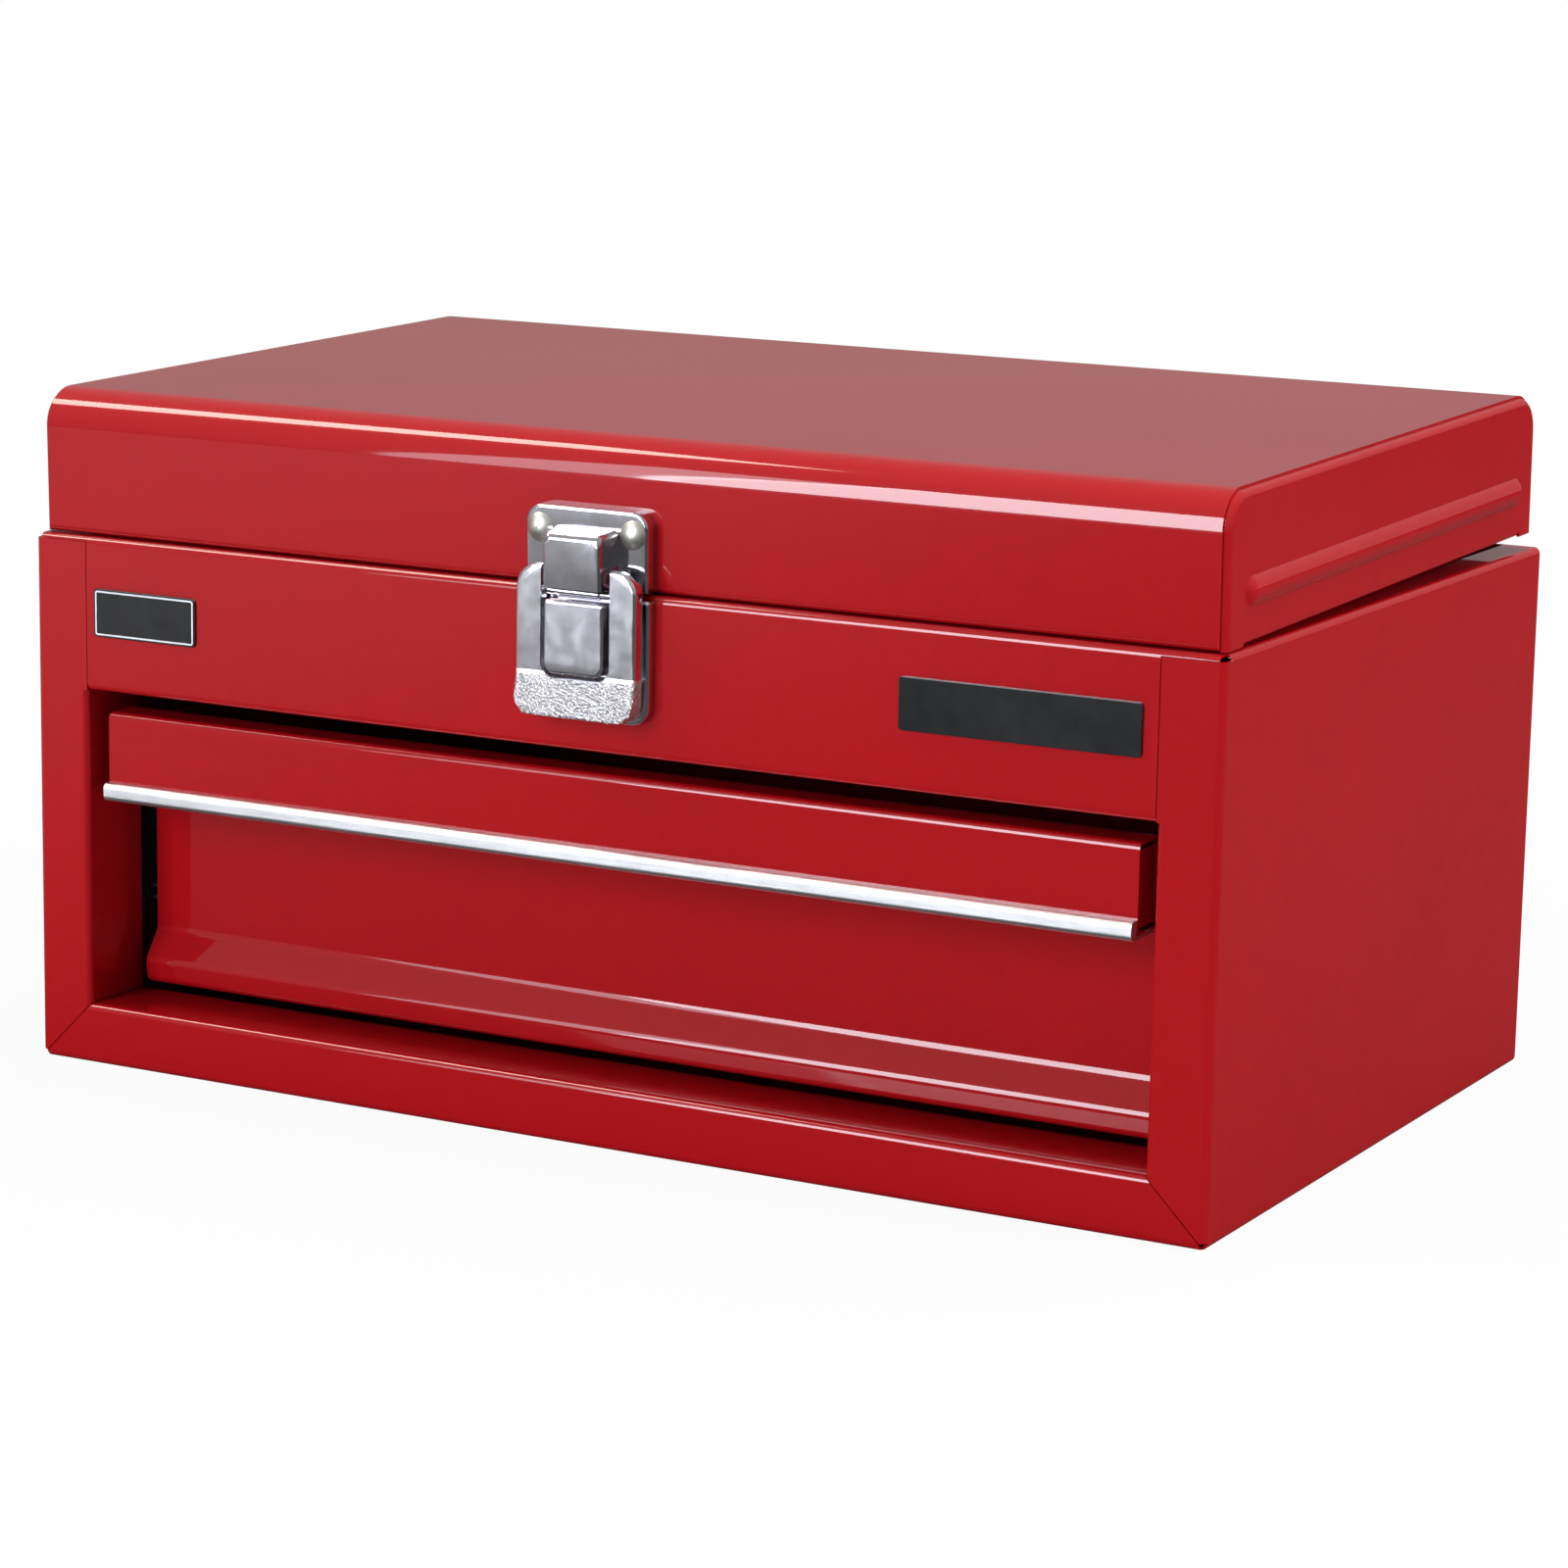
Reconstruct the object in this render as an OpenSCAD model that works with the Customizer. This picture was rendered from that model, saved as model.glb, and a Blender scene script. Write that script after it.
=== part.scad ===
// Portable steel tool box with one drawer: a folded and spot-welded case, a
// hinged lid, a drawer on ball-bearing slides and a sprung catch at the front.
// Millimetres, +Z up, front towards -Y, origin under the middle of the base.

/* [Case] */
// Width of the case over its sides
case_w = 410; // [340:1:520]
// Depth of the case from front face to rear edge
case_d = 252; // [240:1:340]
// Height of the case to the top of its front panel
case_h = 171; // [165:1:230]
// Thickness of the painted steel sheet
sheet_t = 0.8; // [0.7:0.1:1]
// Inside radius of the folds
fold_r = 1.4; // [1:0.1:2]
// Width of the upright front flanges
flange_w = 19.5; // [17:0.5:26]
// Height of the bottom rail in front
rail_h = 19.5; // [17:0.5:26]
// Depth of the flange and rail returns round the drawer opening
return_d = 28; // [24:0.5:29]
// Height of the front panel above the drawer opening
panel_h = 49; // [48:1:60]
// Width of the folded rims inside the top of the case
rim_w = 12; // [8:0.5:16]
// Open corner between the front rim and a side rim
corner_notch = 4.5; // [3:0.5:7]
// Joint between two sheets that meet edge to edge
seam = 0.3; // [0.2:0.05:0.5]

/* [Lid] */
// Height of the lid's front wall
lid_h = 45; // [40:1:70]
// Step from the case's front face back to the lid's
lid_front_inset = 3; // [2:0.5:5]
// Step from the case's side in to the lid's end
lid_side_inset = 1.5; // [1:0.5:3]
// Outside radius of the lid's front and rear top edges
lid_r = 12; // [8:0.5:18]
// Gap between lid and front panel when shut
lid_gap = 0.3; // [0.2:0.1:0.8]
// Outside radius of the edge of the lid's end caps
cap_r = 2.2; // [2:0.1:2.6]
// Depth of the end caps' flanges inside the lid
cap_flange = 10; // [6:0.5:16]
// Height of the stiffening bead on an end cap
bead_h = 9; // [7:0.5:12]
// How far the bead stands out
bead_out = 2; // [1.5:0.1:2.4]
// Height of the bead's middle above the lid's lower edge
bead_up = 15; // [12:0.5:20]
// Distance from the bead's end to the lid's front or rear face
bead_end = 13; // [10:0.5:30]

/* [Hinge] */
// Diameter of the hinge pin
hinge_pin_d = 3; // [2.6:0.1:3]
// Thickness of the hinge leaves
leaf_t = 1; // [0.9:0.05:1]
// Height of a hinge leaf on its wall
leaf_h = 16; // [12:1:24]
// Distance from the lid's end to the hinge's end
hinge_end = 28; // [18:1:45]
// Number of knuckles, an odd number
knuckles = 19; // [11:2:25]
// Radial clearance of the pin in the knuckles
hinge_fit = 0.05; // [0.02:0.01:0.08]

/* [Drawer] */
// Gap between the drawer front's end and the opening's side
drawer_gap = 6.1; // [6.1:0.1:8]
// Gap between the drawer front's top and the opening's top
drawer_top_gap = 7; // [5:0.5:10]
// Gap between the drawer's underside and the bottom rail
drawer_foot_gap = 3.5; // [3:0.5:8]
// Step from the case's front face back to the drawer's lip
lip_set = 3.2; // [2:0.1:5]
// Height of the drawer's lip
lip_h = 27; // [22:0.5:34]
// Depth of the finger recess below the lip
recess_d = 25; // [20:0.5:25.5]
// How far the foot of the drawer front flares forward
flare_out = 6.5; // [3:0.5:9]
// Height of the flared foot
flare_h = 17; // [14:0.5:22]
// Depth of the top fold of the drawer front
lip_fold = 14; // [8:0.5:18]
// Distance from the rear of the tray to the back panel
tray_back_gap = 15; // [8:0.5:30]
// Width of the folded rims along the tray's sides
tray_rim = 4; // [3:0.5:8]

/* [Drawer pull] */
// Height of the aluminium pull
pull_h = 5.8; // [5:0.1:8]
// How far the pull stands out from the lip
pull_out = 3.6; // [3:0.1:4.5]
// Width of the pull's leg under the lip
pull_leg = 12; // [8:0.5:16]

/* [Slides] */
// Distance from the slides' rear to the rear of the tray
slide_end_gap = 3.6; // [2:0.2:20]
// Travel of the drawer as a share of the slides' length
travel_share = 0.7; // [0.5:0.01:0.7]
// Height of the outer slide member
slide_h = 35; // [32:1:45]
// Height of the slides' middle above the floor
slide_z = 66; // [58:1:80]
// Diameter of a bearing ball
ball_d = 2.6; // [2.4:0.1:2.6]
// Balls in each race
balls_per_race = 5; // [3:1:8]

/* [Catch] */
// Width of the keeper on the lid
keeper_w = 41.8; // [40:0.2:46]
// Height of the keeper
keeper_h = 24; // [22:0.5:30]
// Width of the catch's base on the case
base_w = 44.6; // [43:0.2:50]
// Height of the catch's base
base_h = 37.6; // [36:0.2:42]
// Width of the lever
lever_w = 41.4; // [38:0.2:42]
// Width of the window between the lever's arms
window_w = 23.8; // [23:0.2:25]
// How far the lever's face stands out from the case
lever_out = 8.5; // [8.2:0.1:9]
// Width of the centre boss
boss_w = 20.4; // [16:0.2:21]
// How far the centre boss stands out from the case
boss_out = 9.6; // [8:0.1:11]
// Width of the keeper's hood across its front
hood_w = 19.6; // [18:0.2:20]
// How far the hood stands out from the case
hood_out = 10.8; // [10:0.1:12]
// Diameter of the lever's pivot pin
catch_pin_d = 2; // [1.8:0.1:2]

/* [Hidden] */

red = [0.66, 0.09, 0.11];
chrome = [0.80, 0.80, 0.82];
nickel = [0.74, 0.72, 0.66];
zinc = [0.66, 0.68, 0.70];
alloy = [0.82, 0.83, 0.85];

$fn = 48;
eps = 0.01;
fold_out = fold_r + sheet_t;

// Drawer opening
opening_w = case_w - 2 * flange_w;
opening_top = case_h - panel_h;
flange_top = case_h - 1.7;

// Back panel, set in a little behind the case's side edges
back_inset = 0.4;
back_outer = case_d - back_inset;
back_inner = back_outer - sheet_t;

// Hinge: its knuckles lift the lid's rear edge clear of the case
pin_r = hinge_pin_d / 2;
knuckle_in = pin_r + hinge_fit;
knuckle_out = knuckle_in + leaf_t;
hinge_y = back_inner - knuckle_out;
knuckle_clear = 0.2;
hinge_z = case_h + knuckle_out + knuckle_clear;
lid_edge = hinge_z + knuckle_out + knuckle_clear;

// Lid, drawn level and then lowered at the front until it rests
lid_w = case_w - 2 * lid_side_inset;
lid_rear = hinge_y - knuckle_out + leaf_t + sheet_t;
lid_top = lid_edge + lid_h;
lid_drop = lid_edge - case_h - lid_gap;
lid_tilt = asin(lid_drop / (hinge_y - lid_front_inset));
hinge_w = lid_w - 2 * hinge_end;
knuckle_pitch = hinge_w / knuckles;
knuckle_gap = 0.4;

// Compartment floor, on the front panel's lower fold
floor_z = opening_top + sheet_t;
lower_fold = 14;

// Drawer
drawer_w = opening_w - 2 * drawer_gap;
lip_top = opening_top - drawer_top_gap;
lip_bottom = lip_top - lip_h;
drawer_z = rail_h + drawer_foot_gap;
recess_y = lip_set + recess_d;
tray_z = drawer_z + sheet_t;
tray_top = lip_top - 4;
tray_rear = back_inner - tray_back_gap;
pull_z = lip_bottom - 1.2;

// Slides, from the outer member's back (0) to the drawer's side (slide_w);
// a nested pair is half an inch wide
slide_w = 12.7;
slide_y = recess_y + 4;
slide_len = tray_rear - slide_end_gap - slide_y;
travel = slide_len * travel_share;
slide_x = drawer_w / 2 + slide_w;
member_t = 1.2;
lip_t = 0.8;
ball_fit = 0.05;
race_z = slide_h / 2 - member_t - ball_d / 2 - ball_fit;
race_reach = 5.8;
race_u = slide_w - race_reach + lip_t + ball_fit + ball_d / 2;
retainer_u = 3;
retainer_t = 0.7;
inner_half = race_z - ball_d / 2 - ball_fit;
retainer_play = 2;
retainer_rise = 0.75;
retainer_len = slide_len - travel - 2 * retainer_play;
retainer_y = slide_y + travel / 2 + retainer_play;
retainer_end = 6;
ball_pitch = (retainer_len - 2 * retainer_end) / (balls_per_race - 1);
bracket_t = 1;
bracket_foot = 10;
rivet_r = 1.6;
rivet_head_r = 2.8;
rivet_head_t = 0.8;
rivet_tail_r = 2.6;
rivet_tail_t = 1;
hole_play = 0.05;

// Catch: pivot between the lid and the case front
pivot_z = case_h - 0.1;
pivot_out = 5.6;
catch_pin_r = catch_pin_d / 2;
catch_fit = 0.05;
base_top = case_h - 1.2;
base_bottom = base_top - base_h;
base_out = 3.2;
keeper_bottom = 0.5;
keeper_out = 5;
hood_bottom = keeper_bottom + 0.9;
hood_top = keeper_bottom + 18.4;
lever_bottom = base_bottom + 1.2;
lever_top = pivot_z + 7.8;
lever_t = 0.8;
lever_rear = base_out + 1.2;
kick_h = 13;
kick_out = 2.4;
boss_top = pivot_z - 2.4;
boss_h = 22;
ear_t = 1.2;
ear_x = 14;
ear_r = 1.85;
cheek_x = 12.3;
cheek_t = 1.1;
cheek_r = 1.8;
catch_rivet_r = 1.5;
catch_tail_r = 2.6;
base_rivet_x = 12;
base_rivet_z = base_bottom + 8;
keeper_rivet_x = 16;
keeper_rivet_z = keeper_bottom + keeper_h - 6.8;

// ---------------------------------------------------------------- folding

function heading(p, q) = atan2(q[1] - p[1], q[0] - p[0]);
function turn(p, q, s) = (heading(q, s) - heading(p, q) + 540) % 360 - 180;
function line_r(p, t) = (len(p) > 2 ? p[2] : fold_r) + t / 2;
function setback(pts, i, t) = i == 0 || i == len(pts) - 1 ? 0
  : line_r(pts[i], t) * tan(abs(turn(pts[i - 1], pts[i], pts[i + 1])) / 2);

// A ring sector, for one fold
module fold_arc(r_in, r_out, from, by) {
  far = 2 * r_out;
  intersection() {
    difference() {
      circle(r_out);
      circle(r_in);
    }
    polygon([[0, 0], far * [cos(from), sin(from)],
      far * [cos(from + by / 2), sin(from + by / 2)],
      far * [cos(from + by), sin(from + by)]]);
  }
}

// Section of a sheet with square folds, along the sharp corners of its middle
// line; a third number at a corner is that fold's own inside radius
module folded(pts, t = sheet_t) {
  last = len(pts) - 1;
  for (i = [0 : last - 1]) {
    a = setback(pts, i, t);
    b = setback(pts, i + 1, t);
    translate([pts[i][0], pts[i][1]])
      rotate(heading(pts[i], pts[i + 1]))
        translate([a, -t / 2])
          square([norm([pts[i + 1][0] - pts[i][0], pts[i + 1][1] - pts[i][1]]) - a - b, t]);
  }
  for (i = [1 : last - 1]) {
    by = turn(pts[i - 1], pts[i], pts[i + 1]);
    side = by > 0 ? 1 : -1;
    mid_r = line_r(pts[i], t);
    translate([pts[i][0], pts[i][1]])
      rotate(heading(pts[i - 1], pts[i]))
        translate([-setback(pts, i, t), side * mid_r])
          fold_arc(mid_r - t / 2, mid_r + t / 2, -90 * side, by);
  }
}

// One surface of a sheet with slanting folds: the left (1) or the right (-1)
function side_line(pts, t, s) = [for (i = [0 : len(pts) - 1])
  let (first = i == 0, end = first || i == len(pts) - 1, p = [pts[i][0], pts[i][1]],
    h = first ? heading(p, pts[1]) : heading(pts[i - 1], p),
    by = end ? 0 : turn(pts[i - 1], pts[i], pts[i + 1]), way = sign(by), r = line_r(pts[i], t),
    along = [cos(h), sin(h)], across = [-sin(h), cos(h)],
    middle = p - setback(pts, i, t) * along + way * r * across)
  each end ? [p + s * t / 2 * across]
    : [for (k = [0 : 8]) let (a = h - 90 * way + by * k / 8)
        middle + (r - way * s * t / 2) * [cos(a), sin(a)]]];

// Section of a sheet with slanting folds, drawn as one outline
module bent(pts, t = sheet_t) {
  right = side_line(pts, t, -1);
  polygon(concat(side_line(pts, t, 1), [for (i = [len(right) - 1 : -1 : 0]) right[i]]));
}

// Extrusions of a section along the width, the depth and the height
module along_x(w) {
  rotate([90, 0, 90]) linear_extrude(w, center = true) children();
}
module along_y(from, to) {
  translate([0, to, 0]) rotate([90, 0, 0]) linear_extrude(to - from) children();
}
module both_sides() {
  children();
  mirror([1, 0, 0]) children();
}
// Depths are measured back from the case's front face
module in_case() {
  translate([0, -case_d / 2, 0]) children();
}
// The lid, turned down about the hinge pin until its front rests
module in_lid() {
  in_case() translate([0, hinge_y, hinge_z]) rotate([lid_tilt, 0, 0])
    translate([0, -hinge_y, -hinge_z]) children();
}
// Flat outlines of the catch in width and height, extruded out of the front
module outward(from, to) {
  translate([0, -from, 0]) rotate([90, 0, 0]) linear_extrude(to - from) children();
}

// ------------------------------------------------------------------- case

// Side walls and base in one sheet, with the rims inside the side walls' tops
module wrapper_shell() {
  w = case_w / 2 - sheet_t / 2;
  top = case_h - sheet_t / 2;
  low = sheet_t / 2;
  difference() {
    along_y(fold_out, case_d)
      folded([[-case_w / 2 + rim_w, top], [-w, top], [-w, low], [w, low], [w, top],
        [case_w / 2 - rim_w, top]]);
    both_sides() {
      translate([case_w / 2 - rim_w - 1, -1, case_h - fold_out])
        cube([rim_w + 2, corner_notch + 1, fold_out + 1]);
      translate([case_w / 2 - rim_w - 1, back_inner - 0.1, case_h - fold_out])
        cube([rim_w + 1 - fold_out, 5, fold_out + 1]);
    }
  }
}

// Upright flange on one side, folded back as the jamb of the drawer opening
module side_flange() {
  x_out = case_w / 2 - sheet_t / 2;
  x_in = case_w / 2 - flange_w + sheet_t / 2;
  difference() {
    translate([0, 0, fold_out]) linear_extrude(flange_top - fold_out)
      folded([[x_out, corner_notch], [x_out, sheet_t / 2], [x_in, sheet_t / 2],
        [x_in, return_d]]);
    // no jamb above the opening, and a plain flange edge there
    translate([x_in - sheet_t / 2 - 1, sheet_t, opening_top])
      cube([fold_out + sheet_t + 1, return_d, case_h]);
    translate([x_in - sheet_t / 2 - 1, -1, opening_top])
      cube([fold_r + 1, return_d, case_h]);
    mitre_cut(-1);
  }
  translate([x_in - sheet_t / 2, 0, opening_top])
    cube([fold_out + 1, sheet_t, flange_top - opening_top]);
}

// Everything beyond the mitre line of the front corner, on one side of it
module mitre_cut(side) {
  slope = atan2(rail_h, flange_w);
  big = case_w;
  translate([case_w / 2, -1, 0]) rotate([0, slope, 0])
    translate([-big, 0, side > 0 ? -seam / 2 : -big + seam / 2]) cube([2 * big, big, big]);
}

// Rail under the opening, with its own return
module bottom_rail() {
  difference() {
    along_x(case_w - 2 * fold_out)
      folded([[corner_notch, sheet_t / 2], [sheet_t / 2, sheet_t / 2],
        [sheet_t / 2, rail_h - sheet_t / 2], [return_d, rail_h - sheet_t / 2]]);
    both_sides() mitre_cut(1);
  }
}

module case_wrapper() {
  color(red) in_case() {
    wrapper_shell();
    both_sides() side_flange();
    bottom_rail();
  }
}

module back_panel() {
  w = case_w / 2 - sheet_t * 1.5;
  y = back_inner + sheet_t / 2;
  color(red) in_case() {
    difference() {
      translate([0, 0, sheet_t]) linear_extrude(case_h - sheet_t)
        folded([[-w, y - rim_w], [-w, y], [w, y], [w, y - rim_w]]);
      both_sides() {
        translate([case_w / 2 - rim_w - 1, 0, case_h - fold_out])
          cube([rim_w, back_inner - 0.1, fold_out + 1]);
        for (z = [-1, case_h - fold_out])
          translate([case_w / 2 - fold_out - 0.1, 0, z]) cube([fold_out, case_d, fold_out + 1]);
      }
    }
    translate([-w + rim_w, y - rim_w, sheet_t]) cube([2 * (w - rim_w), rim_w, sheet_t]);
  }
}

module front_panel() {
  half = opening_w / 2 - seam;
  top = case_h - sheet_t / 2;
  low = opening_top + sheet_t / 2;
  tab = 12;
  color(red) in_case() difference() {
    union() {
      along_x(2 * half)
        folded([[rim_w, top], [sheet_t / 2, top], [sheet_t / 2, low], [lower_fold, low]]);
      // the rim runs on over the flanges, with tabs welded behind them
      intersection() {
        along_x(case_w - 2 * fold_out)
          folded([[rim_w, top], [sheet_t / 2, top], [sheet_t / 2, low]]);
        translate([-case_w, -1, flange_top + seam / 2]) cube([2 * case_w, case_d, case_h]);
      }
      both_sides() translate([half - 4, sheet_t, opening_top + fold_out])
        cube([4 + tab + seam, sheet_t, panel_h - fold_out - sheet_t / 2]);
    }
    both_sides() {
      rivet_hole(base_rivet_x, base_rivet_z);
      // the rim's ends stop short of the side rims
      translate([case_w / 2 - rim_w - seam, corner_notch - seam, case_h - fold_out])
        cube([rim_w + 1, rim_w + 1, fold_out + 1]);
    }
  }
}

// Hole through the front for a rivet of the catch
module rivet_hole(x, z) {
  translate([x, rim_w, z]) rotate([90, 0, 0]) cylinder(h = 2 * rim_w, r = rivet_r);
}

module compartment_floor() {
  w = case_w / 2 - sheet_t * 1.5 - 0.01;
  z = floor_z + sheet_t / 2;
  y0 = fold_out + 0.1;
  y1 = back_inner - sheet_t / 2 - 0.01;
  color(red) in_case() {
    along_y(y0 + 2, y1 - rim_w)
      folded([[-w, z + rim_w], [-w, z], [w, z], [w, z + rim_w]]);
    along_x(2 * (w - rim_w)) folded([[y0, z], [y1, z], [y1, z - rim_w]]);
  }
}

// ------------------------------------------------------------------ hinge

// Knuckles of one leaf: every second one, starting at first
module knuckle_row(first) {
  for (i = [first : 2 : knuckles - 1])
    translate([-hinge_w / 2 + i * knuckle_pitch + knuckle_gap / 2, hinge_y, hinge_z])
      rotate([0, 90, 0]) cylinder(h = knuckle_pitch - knuckle_gap, r = knuckle_out);
}
// Narrow strips that carry the knuckles on from the leaf's plate
module knuckle_roots(first, y, z0, z1) {
  for (i = [first : 2 : knuckles - 1])
    translate([-hinge_w / 2 + i * knuckle_pitch + knuckle_gap / 2, y, z0])
      cube([knuckle_pitch - knuckle_gap, leaf_t, z1 - z0]);
}
module pin_bore(r) {
  translate([-hinge_w / 2 - 5, hinge_y, hinge_z]) rotate([0, 90, 0])
    cylinder(h = hinge_w + 10, r = r);
}

module hinge_leaf_case() {
  y = hinge_y + knuckle_out - leaf_t;
  low = case_h - leaf_h;
  color(zinc) in_case() difference() {
    union() {
      translate([-hinge_w / 2, y, low]) cube([hinge_w, leaf_t, leaf_h]);
      knuckle_roots(0, y, case_h - 1, hinge_z);
      knuckle_row(0);
    }
    pin_bore(knuckle_in);
  }
}

module hinge_leaf_lid() {
  y = hinge_y - knuckle_out;
  color(zinc) in_lid() difference() {
    union() {
      translate([-hinge_w / 2, y, lid_edge]) cube([hinge_w, leaf_t, leaf_h]);
      knuckle_roots(1, y, hinge_z, lid_edge + 1);
      knuckle_row(1);
    }
    pin_bore(knuckle_in);
  }
}

module hinge_pin() {
  color(zinc) in_case() translate([-hinge_w / 2 + 0.2, hinge_y, hinge_z])
    rotate([0, 90, 0]) cylinder(h = hinge_w - 0.4, r = pin_r);
}

// -------------------------------------------------------------------- lid

// Front wall, top and rear wall in one sheet
module lid_wrap() {
  yf = lid_front_inset + sheet_t / 2;
  yr = lid_rear - sheet_t / 2;
  z0 = lid_edge + sheet_t / 2;
  z1 = lid_top - sheet_t / 2;
  round_r = lid_r - sheet_t;
  color(red) in_lid() difference() {
    along_x(lid_w - 2 * cap_r)
      folded([[yf + 8, z0], [yf, z0], [yf, z1, round_r], [yr, z1, round_r], [yr, lid_edge]]);
    both_sides() rivet_hole(keeper_rivet_x, lid_edge + keeper_rivet_z);
  }
}

// Section of the end cap's folded edge, outwards from its corner's middle
module cap_section() {
  x = lid_w / 2 - sheet_t / 2;
  r = lid_r - sheet_t * 1.5 - 0.02;
  folded([[0, x], [r, x, cap_r - sheet_t], [r, x - cap_flange]]);
}

// Outline of the bead's outer (shrink 0) or inner surface
module bead(shrink) {
  r = (pow(bead_h / 2, 2) + bead_out * bead_out) / (2 * bead_out);
  y0 = lid_front_inset + bead_end + bead_h / 2;
  y1 = lid_rear - bead_end - bead_h / 2;
  translate([lid_w / 2 + bead_out - r, 0, lid_edge + bead_up]) {
    translate([0, y1, 0]) rotate([90, 0, 0]) cylinder(h = y1 - y0, r = r - shrink);
    translate([0, y0, 0]) sphere(r - shrink);
    translate([0, y1, 0]) sphere(r - shrink);
  }
}

// Flat end cap with its edge folded in under the wrap
module lid_cap() {
  yf = lid_front_inset + lid_r;
  yr = lid_rear - lid_r;
  zt = lid_top - lid_r;
  x = lid_w / 2 - sheet_t / 2;
  difference() {
    union() {
      translate([x - sheet_t / 2, yf, lid_edge + fold_out])
        cube([sheet_t, yr - yf, zt - lid_edge - fold_out]);
      along_y(yf, yr)
        folded([[x - 8, lid_edge + sheet_t / 2], [x, lid_edge + sheet_t / 2],
          [x, lid_edge + fold_out + 1]]);
      // in this turned frame: depth, height, width
      rotate([90, 0, 90]) {
        translate([yf, zt, 0]) rotate([90, 0, 90]) linear_extrude(yr - yf) cap_section();
        translate([yr, zt, 0]) rotate([90, 0, 0]) linear_extrude(zt - lid_edge) cap_section();
        translate([yf, zt, 0]) mirror([1, 0, 0]) rotate([90, 0, 0])
          linear_extrude(zt - lid_edge) cap_section();
        translate([yr, zt, 0]) rotate_extrude(angle = 90) cap_section();
        translate([yf, zt, 0]) rotate(90) rotate_extrude(angle = 90) cap_section();
      }
      intersection() {
        bead(0);
        translate([x, 0, lid_edge]) cube([10, case_d, lid_h]);
      }
    }
    bead(sheet_t);
    // room for the wrap's own fold under the front wall
    translate([lid_w / 2 - cap_r - cap_flange, lid_front_inset, lid_edge - 1])
      cube([cap_flange + seam / 2, 8 + sheet_t, 1 + sheet_t + seam / 2]);
  }
}
module lid_end_left() { color(red) in_lid() mirror([1, 0, 0]) lid_cap(); }
module lid_end_right() { color(red) in_lid() lid_cap(); }

// ----------------------------------------------------------------- drawer

// Floor and sides in one sheet, with rims along the sides; a welded rear wall
module drawer_tray() {
  w = drawer_w / 2 - sheet_t / 2;
  low = tray_z + sheet_t / 2;
  top = tray_top - sheet_t / 2;
  y0 = recess_y + sheet_t;
  y1 = tray_rear - sheet_t / 2;
  color(red) in_case() difference() {
    union() {
      along_y(y0, tray_rear - fold_out)
        folded([[-w + tray_rim, top], [-w, top], [-w, low], [w, low], [w, top],
          [w - tray_rim, top]]);
      along_x(2 * (w - tray_rim - fold_out))
        folded([[y1 - rim_w, low], [y1, low], [y1, top], [y1 - tray_rim, top]]);
      translate([0, 0, low + fold_out]) linear_extrude(top - low - fold_out - 1)
        folded([[-w + sheet_t, y1 - rim_w], [-w + sheet_t, y1], [w - sheet_t, y1],
          [w - sheet_t, y1 - rim_w]]);
    }
    drawer_rivet_shanks(hole_play);
  }
}

// Folded front: top fold, lip, finger recess, flared foot and fold under the tray
module drawer_front() {
  t = sheet_t / 2;
  back = recess_y + t;
  toe = recess_y - flare_out + t;
  knee = drawer_z + flare_h;
  knee_r = 4.8;
  toe_r = 3.2;
  heel_r = 2.2;
  color(red) in_case() {
    along_x(drawer_w) {
      folded([[lip_set + lip_fold, lip_top - 6], [lip_set + lip_fold, lip_top - t],
        [lip_set + t, lip_top - t], [lip_set + t, lip_bottom + t], [back, lip_bottom + t],
        [back, knee + 8]]);
      bent([[back, knee + 9], [back, knee, knee_r], [toe, knee - flare_h * 0.55, toe_r],
        [toe + 1, drawer_z + t, heel_r], [back + 16, drawer_z + t]]);
    }
    // ends of the lip, folded back to the tray
    both_sides() translate([drawer_w / 2 - sheet_t, lip_set + fold_out, lip_bottom + fold_out])
      cube([sheet_t, recess_d - fold_out + sheet_t, lip_h - 2 * fold_out]);
    both_sides() translate([drawer_w / 2 - sheet_t, lip_set + sheet_t / 2, lip_bottom + fold_out])
      cube([sheet_t, fold_out, lip_h - 2 * fold_out]);
  }
}

// Extruded alloy pull: a rounded bead in front of the lip, a leg under it
module drawer_pull() {
  r = 1.8;
  y0 = lip_set - pull_out;
  z0 = pull_z;
  color(alloy) in_case() along_x(drawer_w - 0.6) {
    translate([y0 + r, z0]) square([pull_out - r, pull_h]);
    translate([y0, z0 + r]) square([r + eps, pull_h - 2 * r]);
    translate([y0 + r, z0 + r]) circle(r);
    translate([y0 + r, z0 + pull_h - r]) circle(r);
    translate([lip_set - eps, z0]) square([pull_leg, lip_bottom - z0]);
  }
}

// ----------------------------------------------------------------- slides

// Slide parts are drawn in width from the outer member's back and in height
// from the slides' middle, and stood at the left of the drawer
module at_slide(from, to) {
  translate([-slide_x, 0, slide_z]) along_y(from, to) children();
}
module up_and_down() {
  children();
  mirror([0, 1]) children();
}

module bracket_section() {
  wall = slide_x - case_w / 2 + sheet_t + bracket_t / 2;
  h = slide_h / 2 + 1;
  far = h + bracket_foot;
  folded([[wall, far], [wall, h], [-bracket_t / 2, h], [-bracket_t / 2, -h],
    [wall, -h], [wall, -far]], bracket_t);
}

module outer_section() {
  h = slide_h / 2;
  translate([0, -h]) square([member_t, slide_h]);
  up_and_down() {
    translate([0, h - member_t]) square([slide_w - lip_t, member_t]);
    translate([slide_w - 2 * lip_t, h - member_t - 1.5]) square([lip_t, member_t + 1.5]);
  }
}

module inner_section() {
  translate([slide_w - member_t, -inner_half]) square([member_t, 2 * inner_half]);
  up_and_down() {
    translate([slide_w - race_reach, inner_half - member_t]) square([race_reach, member_t]);
    translate([slide_w - race_reach, inner_half - member_t])
      square([lip_t, member_t + ball_d / 2 - 0.3]);
  }
}

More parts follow.
